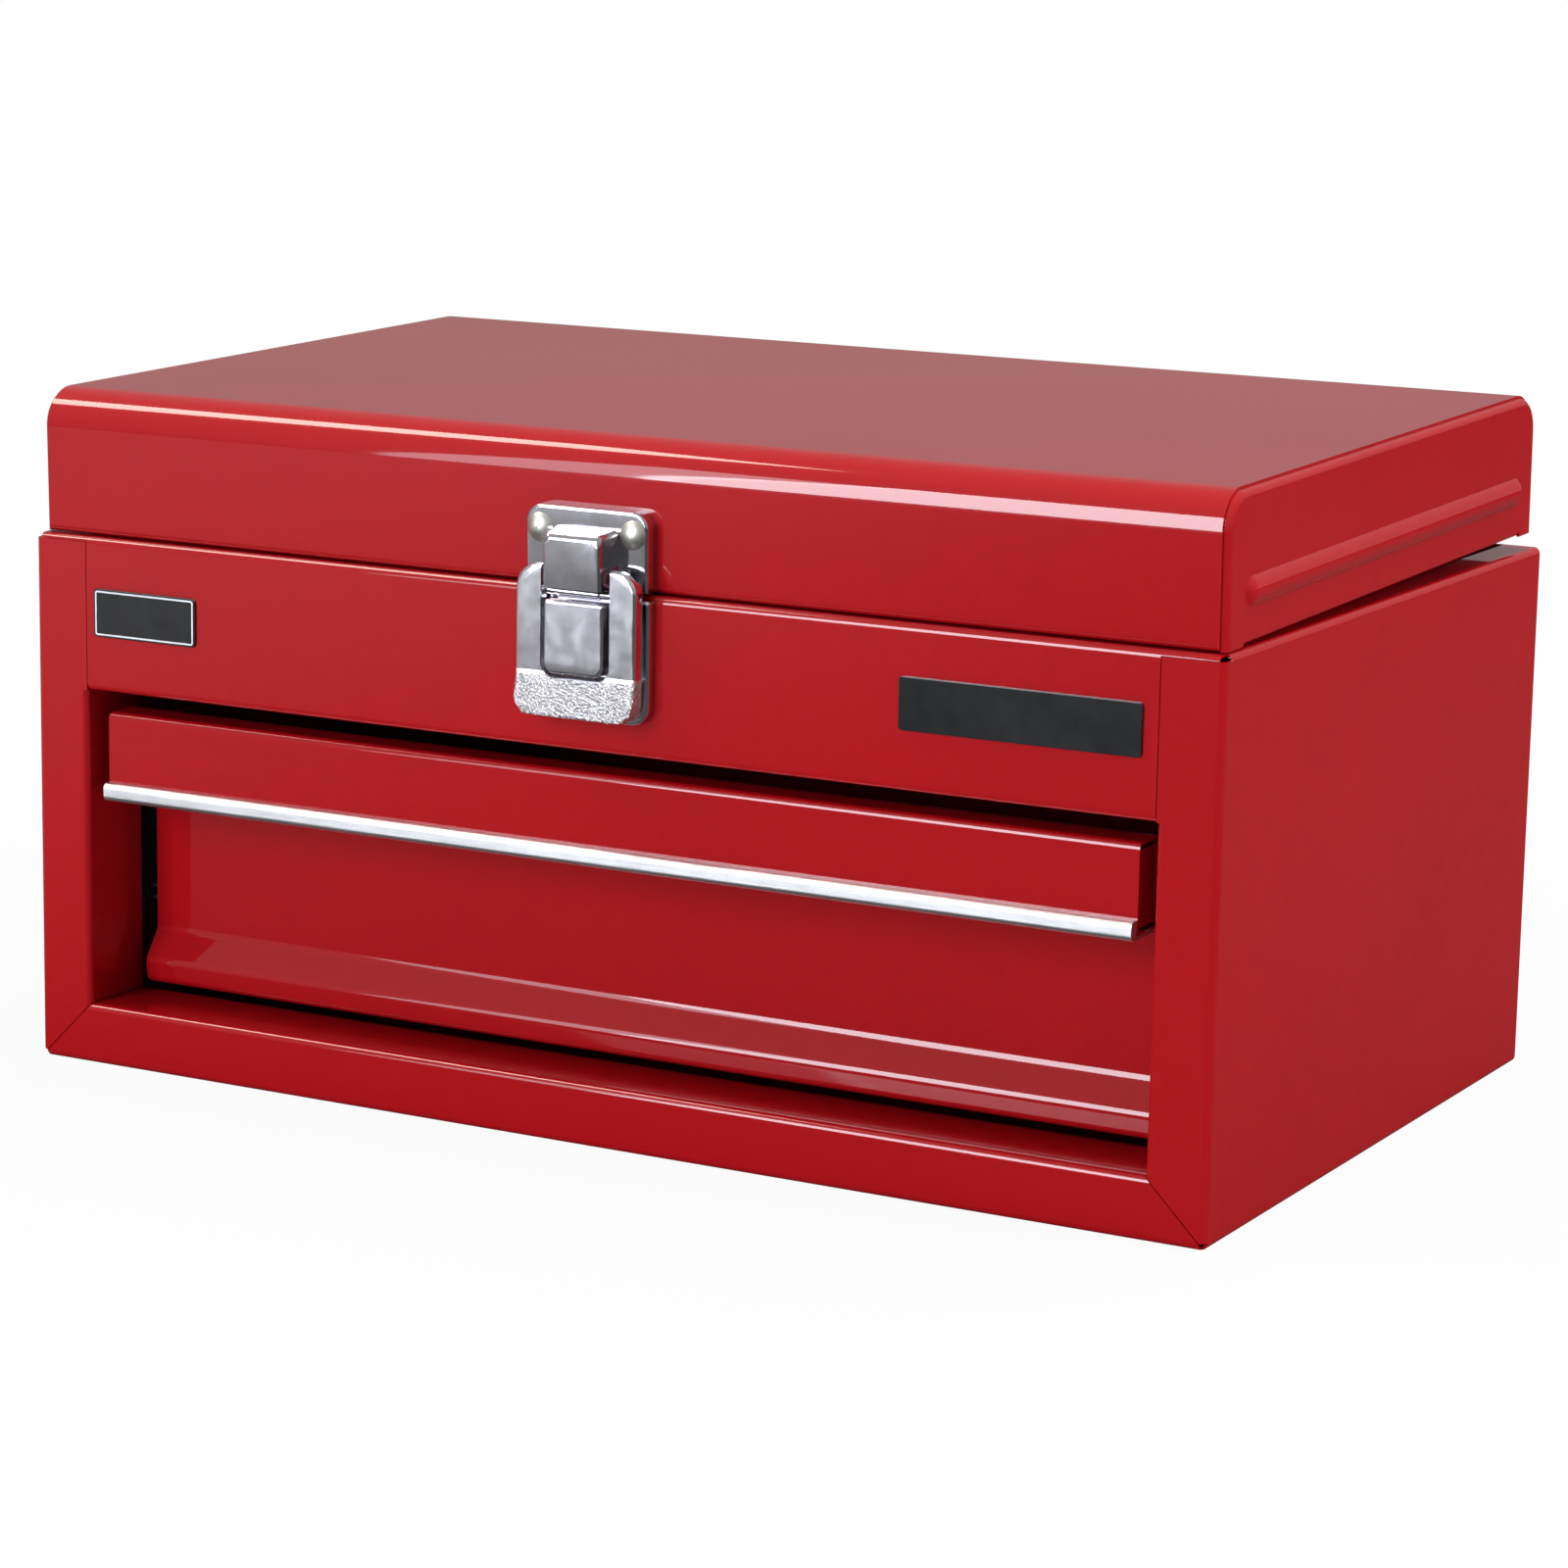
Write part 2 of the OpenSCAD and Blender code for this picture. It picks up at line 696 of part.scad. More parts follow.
module retainer_section() {
  back = retainer_u;
  web = back + retainer_t;
  end = slide_w - 2 * lip_t - 0.3;
  top = race_z + retainer_rise;
  low = top - retainer_t;
  polygon([[back, -top], [end, -top], [end, -low], [web, -low], [web, low], [end, low],
    [end, top], [back, top]]);
}

// Rivets stand along the slides at these depths
function rivet_rows() = [for (k = [0.12, 0.5, 0.88]) slide_y + slide_len * k];

module across_slide(y, from, to, r) {
  translate([-slide_x + from, y, slide_z]) rotate([0, 90, 0]) cylinder(h = to - from, r = r);
}
module case_rivet_shanks(extra) {
  both_sides() for (y = rivet_rows())
    across_slide(y, -bracket_t - eps, member_t + eps, rivet_r + extra);
}
module drawer_rivet_shanks(extra) {
  both_sides() for (y = rivet_rows())
    across_slide(y, slide_w - member_t - eps, slide_w + sheet_t + eps, rivet_r + extra);
}

module slide_bracket() {
  in_case() difference() {
    at_slide(slide_y, slide_y + slide_len) bracket_section();
    case_rivet_shanks(hole_play);
  }
}
module slide_outer() {
  in_case() difference() {
    at_slide(slide_y, slide_y + slide_len) outer_section();
    case_rivet_shanks(hole_play);
  }
}
module slide_inner() {
  in_case() difference() {
    at_slide(slide_y, slide_y + slide_len) inner_section();
    drawer_rivet_shanks(hole_play);
  }
}
module slide_bracket_left() { color(red) slide_bracket(); }
module slide_bracket_right() { color(red) mirror([1, 0, 0]) slide_bracket(); }
module slide_outer_left() { color(zinc) slide_outer(); }
module slide_outer_right() { color(zinc) mirror([1, 0, 0]) slide_outer(); }
module slide_inner_left() { color(zinc) slide_inner(); }
module slide_inner_right() { color(zinc) mirror([1, 0, 0]) slide_inner(); }

module slide_rivets() {
  color(zinc) in_case() both_sides() for (y = rivet_rows()) {
    across_slide(y, -bracket_t - rivet_tail_t, member_t + rivet_head_t, rivet_r);
    across_slide(y, member_t, member_t + rivet_head_t, rivet_head_r);
    across_slide(y, -bracket_t - rivet_tail_t, -bracket_t, rivet_tail_r);
  }
}
module drawer_rivets() {
  color(zinc) in_case() both_sides() for (y = rivet_rows()) {
    across_slide(y, slide_w - member_t - rivet_head_t, slide_w + sheet_t + rivet_tail_t, rivet_r);
    across_slide(y, slide_w - member_t - rivet_head_t, slide_w - member_t, rivet_head_r);
    across_slide(y, slide_w + sheet_t, slide_w + sheet_t + rivet_tail_t, rivet_tail_r);
  }
}

// Depths of the balls in a race
function ball_rows() = [for (k = [0 : balls_per_race - 1])
  retainer_y + retainer_len / 2 + (k - (balls_per_race - 1) / 2) * ball_pitch];

module balls() {
  in_case() for (y = ball_rows(), side = [-1, 1])
    translate([-slide_x + race_u, y, slide_z + side * race_z]) sphere(ball_d / 2);
}
module ball_retainer() {
  in_case() difference() {
    at_slide(retainer_y, retainer_y + retainer_len) retainer_section();
    for (y = ball_rows()) translate([-slide_x + race_u, y, slide_z - slide_h])
      cylinder(h = 2 * slide_h, r = ball_d / 2 + hole_play);
  }
}
module balls_left() { color(chrome) balls(); }
module balls_right() { color(chrome) mirror([1, 0, 0]) balls(); }
module ball_retainer_left() { color(zinc) ball_retainer(); }
module ball_retainer_right() { color(zinc) mirror([1, 0, 0]) ball_retainer(); }

// ------------------------------------------------------------------ catch

// Round-cornered outline in width and height
module rounded(w, z0, z1, r_low, r_high) {
  for (side = [-1, 1]) {
    translate([side * (w / 2 - r_low), z0 + r_low]) circle(r_low, $fn = 32);
    translate([side * (w / 2 - r_high), z1 - r_high]) circle(r_high, $fn = 32);
  }
  r = max(r_low, r_high);
  translate([-w / 2 + r_low, z0]) square([w - 2 * r_low, z1 - z0 - r_high]);
  translate([-w / 2 + r_high, z0 + r_low]) square([w - 2 * r_high, z1 - z0 - r_low]);
  translate([-w / 2, z0 + r_low]) square([w, z1 - z0 - r_low - r_high]);
}

// Pressed block standing out from p0 to p1, its front edges rounded by edge
module pressed(w, z0, z1, r_low, r_high, p0, p1, edge) {
  hull() for (a = [0 : 30 : 90]) {
    shrink = edge * (1 - cos(a));
    outward(a == 0 ? p0 : p1 - edge, p1 - edge + edge * sin(max(a, 1)))
      rounded(w - 2 * shrink, z0 + shrink, z1 - shrink,
        max(r_low - shrink, 0.2), max(r_high - shrink, 0.2));
  }
}

module catch_pin_bore(r, half) {
  translate([-half, -pivot_out, pivot_z]) rotate([0, 90, 0]) cylinder(h = 2 * half, r = r);
}

// Base pan on the case front, with two ears that hold the pivot pin
module latch_base() {
  color(chrome) in_case() difference() {
    union() {
      difference() {
        pressed(base_w, base_bottom, base_top, 6, 1, 0, base_out, 0.9);
        pressed(base_w - 2, base_bottom + 1, base_top - 1, 5, 0.5, -1, base_out - 1, 0.5);
      }
      both_sides() translate([ear_x, 0, 0]) rotate([90, 0, 90]) linear_extrude(ear_t) {
        translate([-pivot_out, pivot_z]) circle(ear_r);
        polygon([[-base_out + 0.5, base_top - 8], [-base_out - 0.8, base_top - 7.4],
          [-pivot_out - ear_r, pivot_z - 1], [-pivot_out - ear_r, pivot_z],
          [-base_out + 0.5, base_top - 0.6]]);
      }
    }
    catch_pin_bore(catch_pin_r + catch_fit, base_w / 2);
    both_sides() rivet_hole(base_rivet_x, base_rivet_z);
  }
}

// Hollow centre boss, staked on the base between the lever's arms
module latch_boss() {
  color(chrome) in_case() difference() {
    pressed(boss_w, boss_top - boss_h, boss_top, 3.4, 0.8, base_out, boss_out, 0.9);
    pressed(boss_w - 2, boss_top - boss_h + 1, boss_top - 1, 2.6, 0.5, 0, boss_out - 1, 0.5);
  }
}

// Domed rivets through a pressing and the sheet behind it
module domed_rivet(x, z, face, head_r, tail) {
  dome = 1.9;
  ball = (head_r * head_r + dome * dome) / (2 * dome);
  translate([x, 0, z]) rotate([90, 0, 0]) {
    intersection() {
      translate([0, 0, face + dome - ball]) sphere(ball);
      translate([0, 0, face]) cylinder(h = dome + 1, r = head_r + 1);
    }
    translate([0, 0, tail - 1]) cylinder(h = face - tail + 1 + eps, r = catch_rivet_r);
    translate([0, 0, tail - 1]) cylinder(h = 1, r = catch_tail_r);
  }
}
module latch_base_rivets() {
  color(nickel) in_case() both_sides()
    domed_rivet(base_rivet_x, base_rivet_z, base_out, 3, -sheet_t);
}
module keeper_rivets() {
  color(nickel) in_lid() translate([0, lid_front_inset, lid_edge]) both_sides()
    domed_rivet(keeper_rivet_x, keeper_rivet_z, keeper_out, 4.4, -sheet_t);
}

// Hood outline: one slab at the plate and a narrower one in front
module hood_block(shrink, low) {
  front = hood_out + lid_front_inset - shrink;
  back_w = hood_w + 3 - 2 * shrink;
  front_w = hood_w - 2 * shrink;
  hull() {
    outward(keeper_out - 1, keeper_out - 0.9)
      rounded(back_w, low, hood_top - shrink, 0.2, 1.6);
    outward(front - 1.6, front - 1.5)
      rounded(front_w + 0.4, low, hood_top - 1 - shrink, 0.2, 1.8);
    outward(front - 0.6, front - 0.5)
      rounded(front_w - 0.2, low, hood_top - 2 - shrink, 0.2, 1.8);
    outward(front - 0.1, front)
      rounded(front_w - 1.4, low, hood_top - 3.2 - shrink, 0.2, 1.8);
  }
}

// Keeper on the lid: a pan open below, with a hollow hood over the hook
module latch_keeper() {
  top = keeper_bottom + keeper_h;
  color(chrome) in_lid() translate([0, lid_front_inset, lid_edge]) difference() {
    union() {
      pressed(keeper_w, keeper_bottom, top, 0.4, 5, 0, keeper_out, 1);
      hood_block(0, hood_bottom);
    }
    pressed(keeper_w - 2, keeper_bottom - 3, top - 1, 0.4, 4, -1, keeper_out - 1, 0.6);
    hood_block(1, keeper_bottom - 1);
    both_sides() rivet_hole(keeper_rivet_x, keeper_rivet_z);
  }
}

// The lever's solid outline: a flat upper slab and a foot that leans outwards
module lever_block(shrink) {
  w = lever_w - 2 * shrink;
  out = lever_out - shrink;
  low = lever_bottom + shrink;
  knee = lever_bottom + kick_h;
  corner = 6 - shrink;
  edge = 1.2;
  rear = lever_rear - (shrink > 0 ? 1 : 0);
  lean = kick_out / kick_h;
  pressed(w, knee - 1, lever_top - shrink, 0.4, 7 - shrink, rear, out, edge);
  hull() {
    outward(rear, rear + eps) rounded(w, low, knee, corner, 0.2);
    multmatrix([[1, 0, 0, 0], [0, 1, lean, -lean * knee], [0, 0, 1, 0]])
      for (a = [0, 30, 60, 90]) {
        less = edge * (1 - cos(a));
        outward(out - edge + edge * sin(a) - eps, out - edge + edge * sin(a))
          rounded(w - 2 * less, low + less, knee, corner - less, 0.2);
      }
  }
}

// Pressed lever: two arms round the boss, joined by the foot
module latch_lever() {
  window_low = boss_top - boss_h - 1.4;
  color(chrome) in_case() difference() {
    union() {
      difference() {
        lever_block(0);
        lever_block(lever_t);
        // window between the arms, open at the top
        outward(0, 2 * lever_out)
          rounded(window_w, window_low, lever_top + 10, 4.5, 0.2);
        // the arms' tops are shallow, so that they clear the keeper
        translate([-lever_w, -lever_out + 2.6, pivot_z + 4.6])
          cube([2 * lever_w, 10, 20]);
      }
      // cheeks inside the arms, round the pivot pin
      both_sides() translate([cheek_x, 0, 0]) rotate([90, 0, 90]) linear_extrude(cheek_t) {
        translate([-pivot_out, pivot_z]) circle(cheek_r);
        translate([-lever_out + lever_t / 2, pivot_z - 5])
          square([lever_out - pivot_out + 0.6, 8]);
      }
    }
    catch_pin_bore(catch_pin_r + catch_fit, base_w / 2);
  }
}

// Hook on the pin: a sleeve and a tongue that stands up inside the hood
module latch_hook() {
  half = 7;
  tongue_h = 11.5;
  tongue_t = 1.2;
  color(chrome) in_case() difference() {
    translate([-half, 0, 0]) rotate([90, 0, 90]) linear_extrude(2 * half) {
      translate([-pivot_out, pivot_z]) circle(ear_r);
      translate([-pivot_out - tongue_t / 2, pivot_z]) square([tongue_t, tongue_h]);
      translate([-pivot_out - 2.6, pivot_z + tongue_h - tongue_t]) square([2.6, tongue_t]);
    }
    catch_pin_bore(catch_pin_r + catch_fit, base_w / 2);
  }
}

module latch_pin() {
  color(zinc) in_case() catch_pin_bore(catch_pin_r, ear_x + ear_t + 1);
}

case_wrapper();
back_panel();
front_panel();
compartment_floor();
slide_bracket_left();
slide_bracket_right();
slide_outer_left();
slide_outer_right();
slide_rivets();
hinge_leaf_case();
hinge_pin();
latch_base();
latch_boss();
latch_base_rivets();
lid_wrap();
lid_end_left();
lid_end_right();
hinge_leaf_lid();
latch_keeper();
keeper_rivets();
drawer_tray();
drawer_front();
drawer_pull();
slide_inner_left();
slide_inner_right();
drawer_rivets();
ball_retainer_left();
ball_retainer_right();
balls_left();
balls_right();
latch_lever();
latch_hook();
latch_pin();
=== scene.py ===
import math
import bmesh
import bpy
from mathutils import Matrix, Vector


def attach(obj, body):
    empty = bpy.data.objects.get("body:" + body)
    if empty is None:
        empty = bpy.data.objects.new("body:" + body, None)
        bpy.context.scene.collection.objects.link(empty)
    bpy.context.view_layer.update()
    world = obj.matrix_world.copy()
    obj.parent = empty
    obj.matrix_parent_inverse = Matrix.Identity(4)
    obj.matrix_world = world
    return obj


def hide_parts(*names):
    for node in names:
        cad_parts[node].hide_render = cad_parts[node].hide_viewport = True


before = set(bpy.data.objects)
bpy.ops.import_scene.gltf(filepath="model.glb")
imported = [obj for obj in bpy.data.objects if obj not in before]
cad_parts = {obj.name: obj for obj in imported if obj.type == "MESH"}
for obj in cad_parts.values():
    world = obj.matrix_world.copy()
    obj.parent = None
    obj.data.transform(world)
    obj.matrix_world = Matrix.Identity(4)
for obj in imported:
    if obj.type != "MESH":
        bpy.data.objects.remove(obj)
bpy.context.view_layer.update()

# Camera, pale paper floor and studio light. A long lens stands off the box's
# front right corner, a little above it.
camera_data = bpy.data.cameras.new("camera")
camera_data.sensor_width = 36.0
camera_data.lens = 107.61
camera_data.clip_end = 50.0
camera = bpy.data.objects.new("camera", camera_data)
bpy.context.scene.collection.objects.link(camera)
camera.matrix_world = Matrix((
    (0.876033, -0.109777, 0.469590, 0.708794),
    (0.481926, 0.163563, -0.860810, -1.303016),
    (0.017689, 0.980406, 0.196191, 0.388072),
    (0.0, 0.0, 0.0, 1.0)))
bpy.context.scene.camera = camera
bpy.context.scene.view_settings.view_transform = "Standard"


def new_material(name):
    """An empty node material and its output."""
    material = bpy.data.materials.new(name)
    material.use_nodes = True
    nodes = material.node_tree.nodes
    nodes.clear()
    return material, nodes, material.node_tree.links, nodes.new("ShaderNodeOutputMaterial")


def link_object(name, mesh):
    """A mesh becomes an object in the scene."""
    thing = bpy.data.objects.new(name, mesh)
    bpy.context.scene.collection.objects.link(thing)
    return thing


floor_radius = 6.0
floor_shape = bmesh.new()
bmesh.ops.create_circle(floor_shape, cap_ends=True, segments=64, radius=floor_radius)
floor_mesh = bpy.data.meshes.new("floor")
floor_shape.to_mesh(floor_mesh)
floor_shape.free()
floor = link_object("floor", floor_mesh)
floor_paper, nodes, links, out = new_material("floor_paper")
paper = nodes.new("ShaderNodeBsdfDiffuse")
paper.inputs["Color"].default_value = (0.55, 0.55, 0.55, 1.0)

# Shiny parts see darker paper with painted light and shade on it: painted shade to the right, and a
# painted pool of light paler away to the left, where the key lamps stand
mirrored_paper = nodes.new("ShaderNodeBsdfDiffuse")
ground = nodes.new("ShaderNodeTexCoord")
ground_parts = nodes.new("ShaderNodeSeparateXYZ")
links.new(ground.outputs["Object"], ground_parts.inputs[0])
# Painted light in reflections: the mirrored paper's colour is ramped brighter towards the lamps at
# the left
painted_floor_light = nodes.new("ShaderNodeMapRange")
painted_floor_light.interpolation_type = "SMOOTHSTEP"
painted_floor_light.inputs["From Min"].default_value = -0.1
painted_floor_light.inputs["From Max"].default_value = -0.9
painted_floor_light.inputs["To Min"].default_value = 0.05
painted_floor_light.inputs["To Max"].default_value = 0.27
links.new(ground_parts.outputs["X"], painted_floor_light.inputs["Value"])
links.new(painted_floor_light.outputs["Result"], mirrored_paper.inputs["Color"])

# The camera sees white paper that keeps a faint shadow near the box
white = nodes.new("ShaderNodeEmission")
white.inputs["Strength"].default_value = 1.0
seen = nodes.new("ShaderNodeLightPath")
clear = nodes.new("ShaderNodeMath")
clear.operation = "MULTIPLY"
off_centre = nodes.new("ShaderNodeVectorMath")
off_centre.operation = "LENGTH"
far = nodes.new("ShaderNodeMapRange")
far.interpolation_type = "SMOOTHSTEP"
far.inputs["From Min"].default_value = 0.2
far.inputs["From Max"].default_value = 0.75
far.inputs["To Min"].default_value = 0.93
far.inputs["To Max"].default_value = 1.0
links.new(ground.outputs["Object"], off_centre.inputs[0])
links.new(off_centre.outputs["Value"], far.inputs["Value"])
links.new(far.outputs["Result"], clear.inputs[1])
in_gloss = nodes.new("ShaderNodeMixShader")
mix = nodes.new("ShaderNodeMixShader")
links.new(seen.outputs["Is Glossy Ray"], in_gloss.inputs[0])
links.new(paper.outputs[0], in_gloss.inputs[1])
links.new(mirrored_paper.outputs[0], in_gloss.inputs[2])
links.new(seen.outputs["Is Camera Ray"], clear.inputs[0])
links.new(clear.outputs[0], mix.inputs[0])
links.new(in_gloss.outputs[0], mix.inputs[1])
links.new(white.outputs[0], mix.inputs[2])
links.new(mix.outputs[0], out.inputs["Surface"])
floor.data.materials.append(floor_paper)

# The room: dim as a light, white to the camera, and paler overhead in shiny parts
world = bpy.data.worlds.new("studio")
bpy.context.scene.world = world
world.use_nodes = True
nodes, links = world.node_tree.nodes, world.node_tree.links
nodes.clear()
out = nodes.new("ShaderNodeOutputWorld")
room = nodes.new("ShaderNodeBackground")
room.inputs["Color"].default_value = (1.0, 1.0, 1.0, 1.0)
room.inputs["Strength"].default_value = 0.28
backdrop = nodes.new("ShaderNodeBackground")
backdrop.inputs["Color"].default_value = (1.0, 1.0, 1.0, 1.0)
backdrop.inputs["Strength"].default_value = 1.0
mirrored = nodes.new("ShaderNodeBackground")
direction = nodes.new("ShaderNodeTexCoord")
parts = nodes.new("ShaderNodeSeparateXYZ")
upwards = nodes.new("ShaderNodeMapRange")
upwards.interpolation_type = "SMOOTHSTEP"
upwards.inputs["From Min"].default_value = 0.1
upwards.inputs["From Max"].default_value = 0.6
upwards.inputs["To Min"].default_value = 0.32
upwards.inputs["To Max"].default_value = 0.5
links.new(direction.outputs["Generated"], parts.inputs[0])
links.new(parts.outputs["Z"], upwards.inputs["Value"])
links.new(upwards.outputs["Result"], mirrored.inputs["Strength"])
seen = nodes.new("ShaderNodeLightPath")
shiny = nodes.new("ShaderNodeMath")
shiny.operation = "MAXIMUM"
links.new(seen.outputs["Is Glossy Ray"], shiny.inputs[0])
links.new(seen.outputs["Is Transmission Ray"], shiny.inputs[1])
near = nodes.new("ShaderNodeMixShader")
links.new(shiny.outputs[0], near.inputs[0])
links.new(room.outputs[0], near.inputs[1])
links.new(mirrored.outputs[0], near.inputs[2])
mix = nodes.new("ShaderNodeMixShader")
links.new(seen.outputs["Is Camera Ray"], mix.inputs[0])
links.new(near.outputs[0], mix.inputs[1])
links.new(backdrop.outputs[0], mix.inputs[2])
links.new(mix.outputs[0], out.inputs["Surface"])


def soft_lamp(name, place, aim, width, height, power, colour=(1.0, 1.0, 1.0),
              mirrored=True):
    """A soft lamp box that faces a point; mirrored ones show in shiny surfaces."""
    lamp_data = bpy.data.lights.new(name, "AREA")
    lamp_data.shape = "RECTANGLE"
    lamp_data.size = width
    lamp_data.size_y = height
    lamp_data.energy = power
    lamp_data.color = colour
    lamp = bpy.data.objects.new(name, lamp_data)
    bpy.context.scene.collection.objects.link(lamp)
    lamp.location = place
    lamp.rotation_euler = (Vector(aim) - Vector(place)).to_track_quat("-Z", "Y").to_euler()
    lamp.visible_camera = False
    lamp.visible_glossy = mirrored


# Two tall boxes in front draw the pale lines along the folds, a small warm one
# high at the left draws a second line, and two fill lamps stay out of mirrors
cool = (0.85, 0.93, 1.0)
warm = (1.0, 0.88, 0.77)
soft_lamp("lamp_key", (-0.83, -2.54, 0.91), (0.1, -0.12, 0.91), 0.98, 1.75, 64.0, cool)
soft_lamp("lamp_wing", (-1.42, -2.4, 0.91), (0.0, -0.12, 0.91), 0.26, 1.7, 5.5, cool)
soft_lamp("lamp_warm", (-1.5, -0.72, 2.1), (0.0, -0.1, 0.2), 0.5, 0.85, 16.0, warm)
soft_lamp("lamp_above", (0.5, 0.4, 2.3), (0.0, 0.0, 0.15), 1.6, 1.6, 47.0, mirrored=False)
soft_lamp("lamp_right", (2.4, 0.3, 1.2), (0.0, 0.0, 0.1), 1.0, 1.0, 48.0, mirrored=False)

# The case: sheet steel folded, spot-welded and sprayed with a glossy red baked
# paint. The wrapper is base, sides and front flanges; the back and front panels
# and the floor of the upper compartment are welded into it.


def shader_group(name, inputs, outputs):
    """A node group with named number, colour or vector sockets."""
    group = bpy.data.node_groups.new(name, "ShaderNodeTree")
    kinds = {"number": "NodeSocketFloat", "colour": "NodeSocketColor", "vector": "NodeSocketVector"}
    for label, kind, value in inputs:
        socket = group.interface.new_socket(label, in_out="INPUT", socket_type=kinds[kind])
        if value is not None:
            socket.default_value = value
    for label, kind in outputs:
        group.interface.new_socket(label, in_out="OUTPUT", socket_type=kinds[kind])
    nodes = group.nodes
    return group, nodes, group.links, nodes.new("NodeGroupInput"), nodes.new("NodeGroupOutput")


def noise_node(nodes, links, vector, scale, detail, rough=0.5):
    """Noise of a scale, with detail octaves, on a vector."""
    noise = nodes.new("ShaderNodeTexNoise")
    noise.inputs["Scale"].default_value = scale
    noise.inputs["Detail"].default_value = detail
    noise.inputs["Roughness"].default_value = rough
    links.new(vector, noise.inputs["Vector"])
    return noise


def ramp_between(nodes, links, value, low, high, to_low, to_high):
    """Maps low..high of a value on to to_low..to_high."""
    ramp = nodes.new("ShaderNodeMapRange")
    ramp.inputs["From Min"].default_value = low
    ramp.inputs["From Max"].default_value = high
    ramp.inputs["To Min"].default_value = to_low
    ramp.inputs["To Max"].default_value = to_high
    links.new(value, ramp.inputs["Value"])
    return ramp.outputs["Result"]


# Uneven gloss: a slow cloud with a finer one on it, as on any handled surface
smudge, nodes, links, inward, outward = shader_group(
    "smudge", [("Vector", "vector", None), ("Scale", "number", 12.0)], [("Mask", "number")])
slow = noise_node(nodes, links, inward.outputs["Vector"], 12.0, 3.0)
links.new(inward.outputs["Scale"], slow.inputs["Scale"])
fine = noise_node(nodes, links, inward.outputs["Vector"], 140.0, 4.0, 0.6)
both = nodes.new("ShaderNodeMath")
both.operation = "MULTIPLY"
links.new(slow.outputs["Fac"], both.inputs[0])
links.new(fine.outputs["Fac"], both.inputs[1])
links.new(ramp_between(nodes, links, both.outputs[0], 0.12, 0.4, 0.0, 1.0),
          outward.inputs["Mask"])


def paint_material(name, colour, deep, gloss):
    """Glossy baked paint: orange peel, a little depth in the colour, light smudges."""
    material, nodes, links, out = new_material(name)
    paint = nodes.new("ShaderNodeBsdfPrincipled")
    paint.inputs["Coat Weight"].default_value = 1.0
    paint.inputs["Coat IOR"].default_value = 1.55
    paint.inputs["Coat Roughness"].default_value = 0.035
    paint.inputs["Specular IOR Level"].default_value = 0.03
    place = nodes.new("ShaderNodeTexCoord")
    cloud = nodes.new("ShaderNodeGroup")
    cloud.node_tree = smudge
    links.new(place.outputs["Object"], cloud.inputs["Vector"])
    tint = nodes.new("ShaderNodeMix")
    tint.data_type = "RGBA"
    tint.inputs["A"].default_value = (*colour, 1.0)
    tint.inputs["B"].default_value = (*deep, 1.0)
    links.new(cloud.outputs["Mask"], tint.inputs["Factor"])
    links.new(tint.outputs["Result"], paint.inputs["Base Color"])
    links.new(ramp_between(nodes, links, cloud.outputs["Mask"], 0.0, 1.0, gloss, gloss + 0.06),
              paint.inputs["Roughness"])
    peel = noise_node(nodes, links, place.outputs["Object"], 160.0, 1.0)
    bump = nodes.new("ShaderNodeBump")
    bump.inputs["Strength"].default_value = 0.02
    bump.inputs["Distance"].default_value = 0.0008
    links.new(peel.outputs["Fac"], bump.inputs["Height"])
    links.new(bump.outputs["Normal"], paint.inputs["Normal"])
    links.new(paint.outputs[0], out.inputs["Surface"])
    return material


red_paint = paint_material("red_paint", (0.36, 0.0035, 0.0065), (0.335, 0.003, 0.0055), 0.3)


def skin(node, body, material, crease=32.0):
    """A merged copy of a node, smooth over its folds and sharp past a crease angle."""
    shape = bmesh.new()
    shape.from_mesh(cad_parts[node].data)
    bmesh.ops.remove_doubles(shape, verts=shape.verts, dist=1e-6)
    for face in shape.faces:
        face.smooth = True
    for edge in shape.edges:
        edge.smooth = (len(edge.link_faces) == 2
                       and edge.calc_face_angle(0.0) < math.radians(crease))
    mesh = bpy.data.meshes.new(node + "_skin")
    shape.to_mesh(mesh)
    shape.free()
    piece = link_object(node + "_skin", mesh)
    mesh.materials.append(material)
    even = piece.modifiers.new("even_normals", "WEIGHTED_NORMAL")
    even.mode = "FACE_AREA"
    even.keep_sharp = True
    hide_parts(node)
    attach(piece, body)
    return piece


for node in ("case_wrapper", "back_panel", "front_panel", "compartment_floor",
             "slide_bracket_left", "slide_bracket_right"):
    skin(node, "case", red_paint)

# The slides: roll-formed, zinc-plated members with bearing balls in pressed
# cages, riveted to brackets on the case and to the drawer's sides.

# Fine drawing lines, stretched along the axis with the smallest factor
drawn, nodes, links, inward, outward = shader_group(
    "drawn_lines", [("Vector", "vector", None), ("Stretch", "vector", (1.0, 1.0, 1.0))],
    [("Lines", "number")])
squeeze = nodes.new("ShaderNodeVectorMath")
squeeze.operation = "MULTIPLY"
links.new(inward.outputs["Vector"], squeeze.inputs[0])
links.new(inward.outputs["Stretch"], squeeze.inputs[1])
hair = noise_node(nodes, links, squeeze.outputs[0], 1.0, 4.0, 0.65)
links.new(hair.outputs["Fac"], outward.inputs["Lines"])


